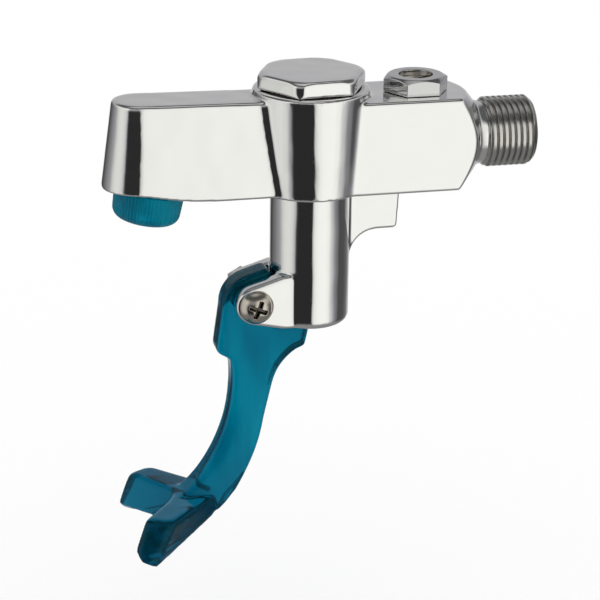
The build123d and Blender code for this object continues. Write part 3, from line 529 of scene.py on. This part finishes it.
def turned_metal(name, color, clean, smeared, axis_x, pitch):
    """Bare metal, turned round an upright axis."""
    material, tree, principled = new_material(name)
    principled.inputs["Base Color"].default_value = color + (1.0,)
    principled.inputs["Metallic"].default_value = 1.0
    smear(tree, principled, clean, smeared)
    turning = use_group(tree, TURNING, Axis=(axis_x, 0.0, 0.0), Pitch=pitch, Depth=TURNING_DEPTH)
    link(tree, turning.outputs["Normal"], principled.inputs["Normal"])
    return material


def worn_screw_recess_shade():
    """Nickel plate, with painted shade down in the driver's cross."""
    material = metal("worn_screw_recess_shade", WORN_NICKEL, clean=0.12, smeared=0.22)
    tree = material.node_tree
    x, y, z = axes_of(tree, object_coordinates(tree))
    across = math_node(tree, "SUBTRACT", x, PIVOT.x)
    along = math_node(tree, "SUBTRACT", z, PIVOT.z)
    near_axis = mapped(tree, distance(tree, across, along), *CROSS_BAND)
    depth = mapped(tree, y, SCREW_FACE + CROSS_TOP, SCREW_FACE + CROSS_DEEP)
    # Painted shade: darker near the axis and down in the driver's cross
    recess_shade = math_node(tree, "MULTIPLY", near_axis, depth)
    color = mixed_colors(tree, recess_shade, WORN_NICKEL, RECESS_SHADE_COLOR)
    link(tree, color, tree.nodes["Principled BSDF"].inputs["Base Color"])
    return material


def moulded(name, light, dark, roughness, grain, depth):
    """Opaque rubber, fibre or plastic."""
    material, tree, principled = new_material(name)
    principled.inputs["Roughness"].default_value = roughness
    texture = use_group(tree, GRAIN, Light=light + (1.0,), Dark=dark + (1.0,), Grain=grain, Depth=depth)
    link(tree, texture.outputs["Color"], principled.inputs["Base Color"])
    link(tree, texture.outputs["Normal"], principled.inputs["Normal"])
    return material


def clear_blue(name, pale, deep, clearness, density, frost, shade_below=None):
    """Clear moulded plastic, a little milky, with streaks in which it flowed down the mould.

    Where a height is given, painted shade deepens the colour below it.
    """
    material, tree, principled = new_material(name)
    streaks = noise(tree, object_coordinates(tree), scale=260.0, detail=1.5, stretch=STREAK_STRETCH)
    color = mixed_colors(tree, mapped(tree, streaks, *BLUE_STREAKS), deep, pale)
    # Painted shade: the colour deepens towards the bottom
    if shade_below is not None:
        height = axes_of(tree, object_coordinates(tree))[2]
        painted_shade = mapped(tree, height, shade_below, shade_below - SHADE_REACH)
        color = mixed_colors(tree, painted_shade, color, SHADE_BLUE)
    link(tree, color, principled.inputs["Base Color"])
    principled.inputs["IOR"].default_value = BLUE_INDEX
    principled.inputs["Transmission Weight"].default_value = clearness
    principled.inputs["Specular Tint"].default_value = BLUE_GLINT
    smear(tree, principled, frost, frost + BLUE_SMEARED)
    polish(tree, principled, wave_size=90.0, depth=0.25)
    absorb = tree.nodes.new("ShaderNodeVolumeAbsorption")
    absorb.inputs["Color"].default_value = BLUE_BODY
    absorb.inputs["Density"].default_value = density
    link(tree, absorb.outputs[0], tree.nodes["Material Output"].inputs["Volume"])
    return material


# Mesh helpers
def merged_copy(node_name):
    """The mesh of a CAD node with its triangles joined."""
    shape = bmesh.new()
    shape.from_mesh(nodes[node_name].data)
    bmesh.ops.remove_doubles(shape, verts=shape.verts, dist=1e-6)
    bmesh.ops.dissolve_degenerate(shape, edges=shape.edges, dist=1e-7)
    return shape


def to_mesh(shape, name):
    mesh = bpy.data.meshes.new(name)
    shape.to_mesh(mesh)
    shape.free()
    return mesh


def to_shape(mesh):
    shape = bmesh.new()
    shape.from_mesh(mesh)
    bpy.data.meshes.remove(mesh)
    return shape


def settled(helper, mesh, name):
    """The mesh that a helper's modifiers make, without the helper and what it started from."""
    graph = bpy.context.evaluated_depsgraph_get()
    result = bpy.data.meshes.new_from_object(helper.evaluated_get(graph), depsgraph=graph)
    bpy.data.objects.remove(helper)
    bpy.data.meshes.remove(mesh)
    result.name = name
    return result


def evaluated_mesh(mesh, name, *modifiers):
    """The mesh with (kind, settings) modifiers applied to it."""
    helper = bpy.data.objects.new(name, mesh)
    bpy.context.scene.collection.objects.link(helper)
    for kind, settings in modifiers:
        modifier = helper.modifiers.new(kind.lower(), kind)
        for key, value in settings.items():
            setattr(modifier, key, value)
    return settled(helper, mesh, name)


def even_copy(node_name, name, voxel):
    """The shape of a CAD node in an even mesh, fine enough to be reshaped."""
    mesh = to_mesh(merged_copy(node_name), name)
    return to_shape(evaluated_mesh(mesh, name, ("REMESH", {"mode": "VOXEL", "voxel_size": voxel})))


def softened(shape, name, voxel, passes, most_triangles):
    """A solid with all its edges and hollows worn round, as buffing leaves them."""
    mesh = to_mesh(shape, name)
    mesh = evaluated_mesh(
        mesh, name,
        ("REMESH", {"mode": "VOXEL", "voxel_size": voxel, "use_smooth_shade": True}),
        ("SMOOTH", {"factor": 0.5, "iterations": passes}))
    fine = mesh.copy()
    fine_object = bpy.data.objects.new(name + "_fine", fine)
    bpy.context.scene.collection.objects.link(fine_object)
    ratio = min(1.0, most_triangles / (2.0 * len(mesh.polygons)))
    mesh = evaluated_mesh(
        mesh, name,
        ("DECIMATE", {"ratio": ratio}),
        ("DATA_TRANSFER", {"object": fine_object, "use_loop_data": True,
                           "data_types_loops": {"CUSTOM_NORMAL"}, "loop_mapping": "POLYINTERP_NEAREST"}))
    bpy.data.objects.remove(fine_object)
    bpy.data.meshes.remove(fine)
    return mesh


def smooth_shaded(shape, name, sharp_angle):
    """A solid with smooth faces and sharp edges, its flat faces kept flat."""
    for face in shape.faces:
        face.smooth = True
    limit = math.radians(sharp_angle)
    for edge in shape.edges:
        edge.smooth = len(edge.link_faces) == 2 and edge.calc_face_angle(0.0) < limit
    mesh = to_mesh(shape, name)
    return evaluated_mesh(mesh, name, ("WEIGHTED_NORMAL", {"keep_sharp": True, "weight": 100}))


def share_of(value, start, end):
    """How far a value has come from start to end, from 0 to 1."""
    return min(1.0, max(0.0, (value - start) / (end - start)))


# Geometry node helpers
def new_tree(name, inputs):
    tree = bpy.data.node_groups.new(name, "GeometryNodeTree")
    tree.interface.new_socket("Geometry", in_out="INPUT", socket_type="NodeSocketGeometry")
    for label, kind in inputs:
        tree.interface.new_socket(label, in_out="INPUT", socket_type=kind)
    tree.interface.new_socket("Geometry", in_out="OUTPUT", socket_type="NodeSocketGeometry")
    return tree, tree.nodes.new("NodeGroupInput"), tree.nodes.new("NodeGroupOutput")


def grown(mesh, name, tree, **values):
    """What a geometry node tree makes of a mesh."""
    helper = bpy.data.objects.new(name, mesh)
    modifier = helper.modifiers.new("grown", "NODES")
    modifier.node_group = tree
    sockets = {item.name: item.identifier for item in tree.interface.items_tree
               if getattr(item, "in_out", "") == "INPUT"}
    for label, value in values.items():
        modifier[sockets[label.replace("_", " ")]] = value
    bpy.context.scene.collection.objects.link(helper)
    return settled(helper, mesh, name)


def point_place(tree):
    """X, Y and Z of each point."""
    return axes_of(tree, tree.nodes.new("GeometryNodeInputPosition").outputs[0])


def moved(tree, geometry, how, x=0.0, y=0.0, z=0.0):
    """The geometry with its points moved, to a Position or by an Offset."""
    join = tree.nodes.new("ShaderNodeCombineXYZ")
    for label, value in (("X", x), ("Y", y), ("Z", z)):
        set_input(tree, join.inputs[label], value)
    move = tree.nodes.new("GeometryNodeSetPosition")
    link(tree, geometry, move.inputs["Geometry"])
    link(tree, join.outputs["Vector"], move.inputs[how])
    return move.outputs["Geometry"]


def finish_tree(tree, geometry, inputs, outputs):
    realize = tree.nodes.new("GeometryNodeRealizeInstances")
    paint = tree.nodes.new("GeometryNodeSetMaterial")
    link(tree, geometry, realize.inputs["Geometry"])
    link(tree, realize.outputs["Geometry"], paint.inputs["Geometry"])
    link(tree, inputs.outputs["Finish"], paint.inputs["Material"])
    link(tree, paint.outputs["Geometry"], outputs.inputs["Geometry"])


# Casting and its inlet thread
def casting_mesh():
    """The casting, buffed, with its tail turned down to fit inside the thread."""
    shape = merged_copy("faucet_body")
    for vertex in shape.verts:
        radius = math.hypot(vertex.co.y, vertex.co.z)
        if vertex.co.x > TAIL_FROM and radius > THREAD_CORE:
            vertex.co.y *= THREAD_CORE / radius
            vertex.co.z *= THREAD_CORE / radius
    return softened(shape, "casting", voxel=0.42 * MM, passes=14, most_triangles=170000)


def thread_tree():
    """A screw thread round +X, from a grid in which X counts pitches and Y is the share of a turn."""
    tree, inputs, outputs = new_tree("screw_thread", [
        ("Pitch", "NodeSocketFloat"), ("Length", "NodeSocketFloat"), ("Crest", "NodeSocketFloat"),
        ("Root", "NodeSocketFloat"), ("Lead In", "NodeSocketFloat"), ("Run Out", "NodeSocketFloat"),
        ("Finish", "NodeSocketMaterial")])
    pitches, turn, _ = point_place(tree)
    along = math_node(tree, "MULTIPLY", math_node(tree, "ADD", pitches, turn), inputs.outputs["Pitch"])
    along = limited(tree, along, 0.0, inputs.outputs["Length"])
    angle = math_node(tree, "MULTIPLY", turn, 2.0 * math.pi)
    saw = math_node(tree, "PINGPONG", pitches, 0.5)
    ridge = limited(tree, math_node(tree, "MULTIPLY_ADD", saw, THREAD_FLANK, -THREAD_TROUGH), 0.0, 1.0)
    from_end = math_node(tree, "SUBTRACT", inputs.outputs["Length"], along)
    leading = limited(tree, math_node(tree, "DIVIDE", from_end, inputs.outputs["Lead In"]), 0.0, 1.0)
    starting = limited(tree, math_node(tree, "DIVIDE", along, inputs.outputs["Run Out"]), 0.0, 1.0)
    ridge = math_node(tree, "MULTIPLY", ridge, math_node(tree, "MULTIPLY", leading, starting))
    height = math_node(tree, "SUBTRACT", inputs.outputs["Crest"], inputs.outputs["Root"])
    radius = math_node(tree, "MULTIPLY_ADD", ridge, height, inputs.outputs["Root"])
    wound = moved(tree, inputs.outputs["Geometry"], "Position", x=along,
                  y=math_node(tree, "MULTIPLY", radius, math_node(tree, "COSINE", angle)),
                  z=math_node(tree, "MULTIPLY", radius, math_node(tree, "SINE", angle)))
    weld = tree.nodes.new("GeometryNodeMergeByDistance")
    weld.inputs["Distance"].default_value = THREAD_WELD
    link(tree, wound, weld.inputs["Geometry"])
    finish_tree(tree, weld.outputs["Geometry"], inputs, outputs)
    return tree


def open_edges(shape):
    return [edge for edge in shape.edges if len(edge.link_faces) == 1]


def thread_mesh(material):
    """The thread, closed by a lining inside the tail's wall."""
    first, last = -1, math.ceil(THREAD_LENGTH / THREAD_PITCH) + 1
    rows = (last - first) * THREAD_STEPS
    sheet = bmesh.new()
    bmesh.ops.create_grid(sheet, x_segments=rows, y_segments=THREAD_COLUMNS, size=0.5)
    for vertex in sheet.verts:
        vertex.co.x = first + (vertex.co.x + 0.5) * (last - first)
        vertex.co.y = vertex.co.y + 0.5
    mesh = grown(to_mesh(sheet, "thread"), "thread", thread_tree(), Pitch=THREAD_PITCH, Length=THREAD_LENGTH,
                 Crest=THREAD_CREST, Root=THREAD_ROOT, Lead_In=THREAD_LEAD_IN, Run_Out=THREAD_RUN_OUT,
                 Finish=material)
    shape = to_shape(mesh)
    bmesh.ops.dissolve_degenerate(shape, edges=shape.edges, dist=1e-7)
    lining = bmesh.ops.extrude_edge_only(shape, edges=open_edges(shape))["geom"]
    for vertex in [item for item in lining if isinstance(item, bmesh.types.BMVert)]:
        shrink = THREAD_CORE / math.hypot(vertex.co.y, vertex.co.z) * THREAD_LINING
        vertex.co.y *= shrink
        vertex.co.z *= shrink
    bmesh.ops.bridge_loops(shape, edges=open_edges(shape))
    bmesh.ops.recalc_face_normals(shape, faces=shape.faces)
    return smooth_shaded(shape, "thread", sharp_angle=40.0)


# Hexagonal fittings
def cap_mesh():
    """The bonnet cap, its corners turned away round the top and all its edges buffed."""
    shape = even_copy("bonnet_cap", "cap", CAP_VOXEL)
    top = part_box("bonnet_cap")[1][2]
    for vertex in shape.verts:
        below = top - vertex.co.z
        across = Vector((vertex.co.x - VALVE_X, vertex.co.y))
        limit = min(CAP_TOP_RADIUS + below * CAP_CORNER_SLOPE, CAP_VERTEX_RADIUS)
        if below < CAP_TURNED_DEPTH and across.length > limit:
            across *= limit / across.length
            vertex.co.x = VALVE_X + across.x
            vertex.co.y = across.y
    return softened(shape, "cap", voxel=0.32 * MM, passes=42, most_triangles=60000)


def gland_mesh():
    shape = merged_copy("regulator_gland")
    return softened(shape, "gland", voxel=0.16 * MM, passes=5, most_triangles=60000)


# Lever and its pivot screw
def broaden_arm(vertex, ahead, below, broader):
    """Broadens the arm at the back, and rounds it off towards its front and back."""
    drop = below - ARM_CURVE_BELOW
    front = ARM_CURVE_AHEAD - math.sqrt(ARM_CURVE_RADIUS ** 2 - drop ** 2)
    across = share_of(front - ahead, 0.0, ARM_WIDTH)
    vertex.co.x += broader * across
    starting = share_of(below, BROADER_FROM, CROWN_FULL_FROM)
    ending = share_of(below, FORK_BELOW, CROWN_FULL_TO)
    crown = ARM_CROWN * min(starting, ending)
    vertex.co.y *= 1.0 - crown * (2.0 * across - 1.0) ** 2


def fill_fork(vertex, ahead, below, broader):
    """Fills the corner between arm and prong, and makes the prong's front fuller."""
    side = abs(vertex.co.y)
    front = FORK_ROOT_AHEAD + FORK_SPLAY * side
    back = share_of(front - ahead, 0.0, front - FORK_FOOT_AHEAD - side)
    root = 1.0 - share_of(side, PLATE_HALF, FORK_REACH)
    beside = share_of(side, PLATE_HALF - PLATE_INSIDE, PLATE_HALF + PLATE_OUTSIDE)
    push = broader * (1.0 - side / FORK_REACH) + FORK_FILL * root * beside
    arm_back = ARM_BACK_AHEAD + ARM_BACK_SLOPE * (below - FORK_BELOW)
    ahead = max(ahead - push * back, min(ahead, arm_back) - broader)
    ahead += PRONG_FULLER * share_of(side, PRONG_FULL_FROM, PRONG_FULL_TO) * (1.0 - back)
    vertex.co.x = PIVOT.x - ahead
    lifted = share_of(below, FORK_BELOW, FORK_BELOW + PRONG_LIFT_DEPTH)
    vertex.co.z += PRONG_LIFT * root * beside * back * lifted


def lever_mesh():
    """The push lever, its arm broader towards the fork and its prongs full where they leave it."""
    shape = even_copy("lever", "push_lever", LEVER_VOXEL)
    for vertex in shape.verts:
        ahead = PIVOT.x - vertex.co.x
        below = PIVOT.z - vertex.co.z
        broader = ARM_BROADER * share_of(below, BROADER_FROM, BROADER_TO)
        if below >= FORK_BELOW:
            fill_fork(vertex, ahead, below, broader)
        elif below >= BROADER_FROM:
            broaden_arm(vertex, ahead, below, broader)
    return softened(shape, "push_lever", voxel=0.45 * MM, passes=30, most_triangles=90000)


def screw_mesh():
    shape = merged_copy("pivot_screw")
    return softened(shape, "cross_screw", voxel=0.12 * MM, passes=8, most_triangles=60000)


# Nozzle
def nozzle_profile():
    """Radius and height round the nozzle's wall, from the top of its collar down the outside."""
    foot = -NOZZLE_DROP
    points = [(NOZZLE_COLLAR, NOZZLE_COLLAR_TOP), (NOZZLE_COLLAR, 0.0)]
    points += [(NOZZLE_RADIUS - NOZZLE_TOP_EDGE, 0.0), (NOZZLE_RADIUS, -NOZZLE_TOP_EDGE)]
    for step in range(1, NOZZLE_SIDE_STEPS):
        share = step / NOZZLE_SIDE_STEPS
        height = -NOZZLE_TOP_EDGE + share * (foot + NOZZLE_EDGE + NOZZLE_TOP_EDGE)
        points.append((NOZZLE_RADIUS + share * (NOZZLE_FOOT_RADIUS - NOZZLE_RADIUS), height))
    for step in range(NOZZLE_CORNER_STEPS + 1):
        turn = math.radians(90.0) * step / NOZZLE_CORNER_STEPS
        points.append((NOZZLE_FOOT_RADIUS - NOZZLE_EDGE * (1.0 - math.cos(turn)),
                       foot + NOZZLE_EDGE * (1.0 - math.sin(turn))))
    points += [(NOZZLE_MOUTH + NOZZLE_MOUTH_EDGE, foot), (NOZZLE_MOUTH, foot + NOZZLE_MOUTH_EDGE)]
    points += [(NOZZLE_MOUTH, NOZZLE_MOUTH_TOP), (NOZZLE_BORE, NOZZLE_MOUTH_TOP)]
    points += [(NOZZLE_BORE, NOZZLE_COLLAR_TOP)]
    return points


def rib_tree():
    """Upright grooves round a turned wall, leaving ribs between them."""
    tree, inputs, outputs = new_tree("upright_ribs", [
        ("Ribs", "NodeSocketInt"), ("Depth", "NodeSocketFloat"), ("Above", "NodeSocketFloat"),
        ("Outside", "NodeSocketFloat"), ("Finish", "NodeSocketMaterial")])
    x, y, z = point_place(tree)
    angle = math_node(tree, "ARCTAN2", y, x)
    wave = math_node(tree, "COSINE", math_node(tree, "MULTIPLY", angle, inputs.outputs["Ribs"]))
    groove = math_node(tree, "MULTIPLY_ADD", wave, 0.5, -0.5)
    radius = distance(tree, x, y)
    outside = math_node(tree, "GREATER_THAN", radius, inputs.outputs["Outside"])
    below = math_node(tree, "LESS_THAN", z, inputs.outputs["Above"])
    cut = math_node(tree, "MULTIPLY", math_node(tree, "MULTIPLY", outside, below), inputs.outputs["Depth"])
    scale = math_node(tree, "DIVIDE", math_node(tree, "MULTIPLY", cut, groove), radius)
    ribbed = moved(tree, inputs.outputs["Geometry"], "Offset",
                   x=math_node(tree, "MULTIPLY", x, scale), y=math_node(tree, "MULTIPLY", y, scale))
    finish_tree(tree, ribbed, inputs, outputs)
    return tree


def turned_wall(profile, columns):
    """Places and faces of a closed profile of (radius, height) turned round +Z."""
    places = []
    for column in range(columns):
        angle = 2.0 * math.pi * column / columns
        for radius, height in profile:
            places.append((radius * math.cos(angle), radius * math.sin(angle), height))
    rows = len(profile)
    faces = []
    for column in range(columns):
        following = (column + 1) % columns
        for row in range(rows):
            below = (row + 1) % rows
            faces.append((column * rows + row, column * rows + below,
                          following * rows + below, following * rows + row))
    return places, faces


def nozzle_mesh(material):
    """The ribbed nozzle, tilted as it is seated under the spout."""
    places, faces = turned_wall(nozzle_profile(), NOZZLE_RIBS * NOZZLE_RIB_COLUMNS)
    mesh = bpy.data.meshes.new("nozzle")
    mesh.from_pydata(places, [], faces)
    mesh = grown(mesh, "nozzle", rib_tree(), Ribs=NOZZLE_RIBS, Depth=NOZZLE_RIB_DEPTH,
                 Above=NOZZLE_RIB_TOP, Outside=NOZZLE_RIBBED_FROM, Finish=material)
    mesh.transform(Matrix.Translation(NOZZLE_PLACE) @ Matrix.Rotation(NOZZLE_TILT, 4, "Y"))
    shape = to_shape(mesh)
    bmesh.ops.recalc_face_normals(shape, faces=shape.faces)
    return smooth_shaded(shape, "nozzle", sharp_angle=35.0)


# Pieces
def add_piece(name, mesh, material, body, slot, *replaced):
    """A visible piece that moves with a body, in place of the CAD nodes it replaces."""
    piece = bpy.data.objects.new(name, mesh)
    bpy.context.scene.collection.objects.link(piece)
    mesh.materials.clear()
    mesh.materials.append(material)
    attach(piece, body)
    if replaced:
        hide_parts(*replaced)
    return piece


def add_spring(material):
    """The coil under the cap, shown as modelled; in the tap it closes up as the stem lifts."""
    mesh = smooth_shaded(merged_copy("valve_spring"), "coil_spring", sharp_angle=60.0)
    spring = add_piece("coil_spring", mesh, material, "tap", "steel", "valve_spring")
    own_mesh(spring)


def give(material, *names):
    """A finish for CAD nodes that are shown as they are."""
    for name in names:
        mesh = nodes[name].data
        mesh.materials.clear()
        mesh.materials.append(material)


# Stage
add_camera()
add_world()
add_floor()
bpy.context.scene.view_settings.view_transform = "Standard"

# Chromed pieces
chrome = metal("polished_chrome", (0.9, 0.9, 0.89), clean=0.035, smeared=0.11,
               wave_size=70.0, wave_depth=0.38)
thread_steel = metal("thread_steel", (0.64, 0.63, 0.61), clean=0.14, smeared=0.24)
gland_steel = metal("gland_steel", (0.66, 0.66, 0.66), clean=0.05, smeared=0.12)
add_piece("casting", casting_mesh(), chrome, "tap", "chrome", "faucet_body")
add_piece("thread", thread_mesh(thread_steel), thread_steel, "tap", "chrome")
add_piece("cap", cap_mesh(), chrome, "tap", "chrome", "bonnet_cap")
add_piece("gland", gland_mesh(), gland_steel, "tap", "chrome", "regulator_gland")

# Blue plastic pieces
lever_blue = clear_blue("lever_blue", (0.0, 0.34, 0.47), (0.0, 0.19, 0.3), clearness=0.9, density=150.0,
                        frost=0.02, shade_below=LEVER_SHADE_BELOW)
add_piece("push_lever", lever_mesh(), lever_blue, "lever", "blue_plastic", "lever")
nozzle_blue = clear_blue("nozzle_blue", (0.0, 0.3, 0.42), (0.0, 0.17, 0.27), clearness=0.5, density=60.0,
                         frost=0.22)
add_piece("ribbed_nozzle", nozzle_mesh(nozzle_blue), nozzle_blue, "tap", "blue_plastic", "nozzle_shell")

# Pivot screw and nut
add_piece("cross_screw", screw_mesh(), worn_screw_recess_shade(), "tap", "steel", "pivot_screw")
give(metal("screw_nickel", (0.42, 0.38, 0.33), clean=0.14, smeared=0.24), "pivot_nut")

# Regulator, wire and brass
give(turned_metal("regulator_brass", (0.5, 0.45, 0.38), 0.2, 0.4, axis_x=REGULATOR_X, pitch=0.05 * MM),
     "regulator_spindle")
spring_wire = metal("spring_wire", (0.56, 0.56, 0.55), clean=0.2, smeared=0.35)
give(spring_wire, "nozzle_screen", "inlet_strainer")
add_spring(spring_wire)
give(turned_metal("machined_brass", (0.75, 0.58, 0.3), 0.18, 0.32, axis_x=VALVE_X, pitch=0.05 * MM),
     "valve_seat", "disc_holder", "washer_nut", "stem_bush")
give(turned_metal("stem_steel", (0.6, 0.6, 0.59), 0.1, 0.22, axis_x=VALVE_X, pitch=0.03 * MM), "valve_stem")

# Seals, gaskets and white plastic
give(moulded("seal_rubber", (0.035, 0.035, 0.036), (0.02, 0.02, 0.021),
             roughness=0.55, grain=2500.0, depth=0.3),
     "seat_washer", "stem_seals", "regulator_ring", "nozzle_gasket")
# Fibre gaskets, near black as painted shade in the gaps they fill
give(moulded("fibre_dark_as_shade", (0.06, 0.045, 0.035), (0.03, 0.024, 0.02),
             roughness=0.8, grain=1800.0, depth=0.7),
     "cap_gasket", "gland_gasket")
give(moulded("white_acetal", (0.82, 0.82, 0.8), (0.74, 0.74, 0.72),
             roughness=0.38, grain=1200.0, depth=0.15),
     "flow_straightener", "stem_foot", "seal_washer")
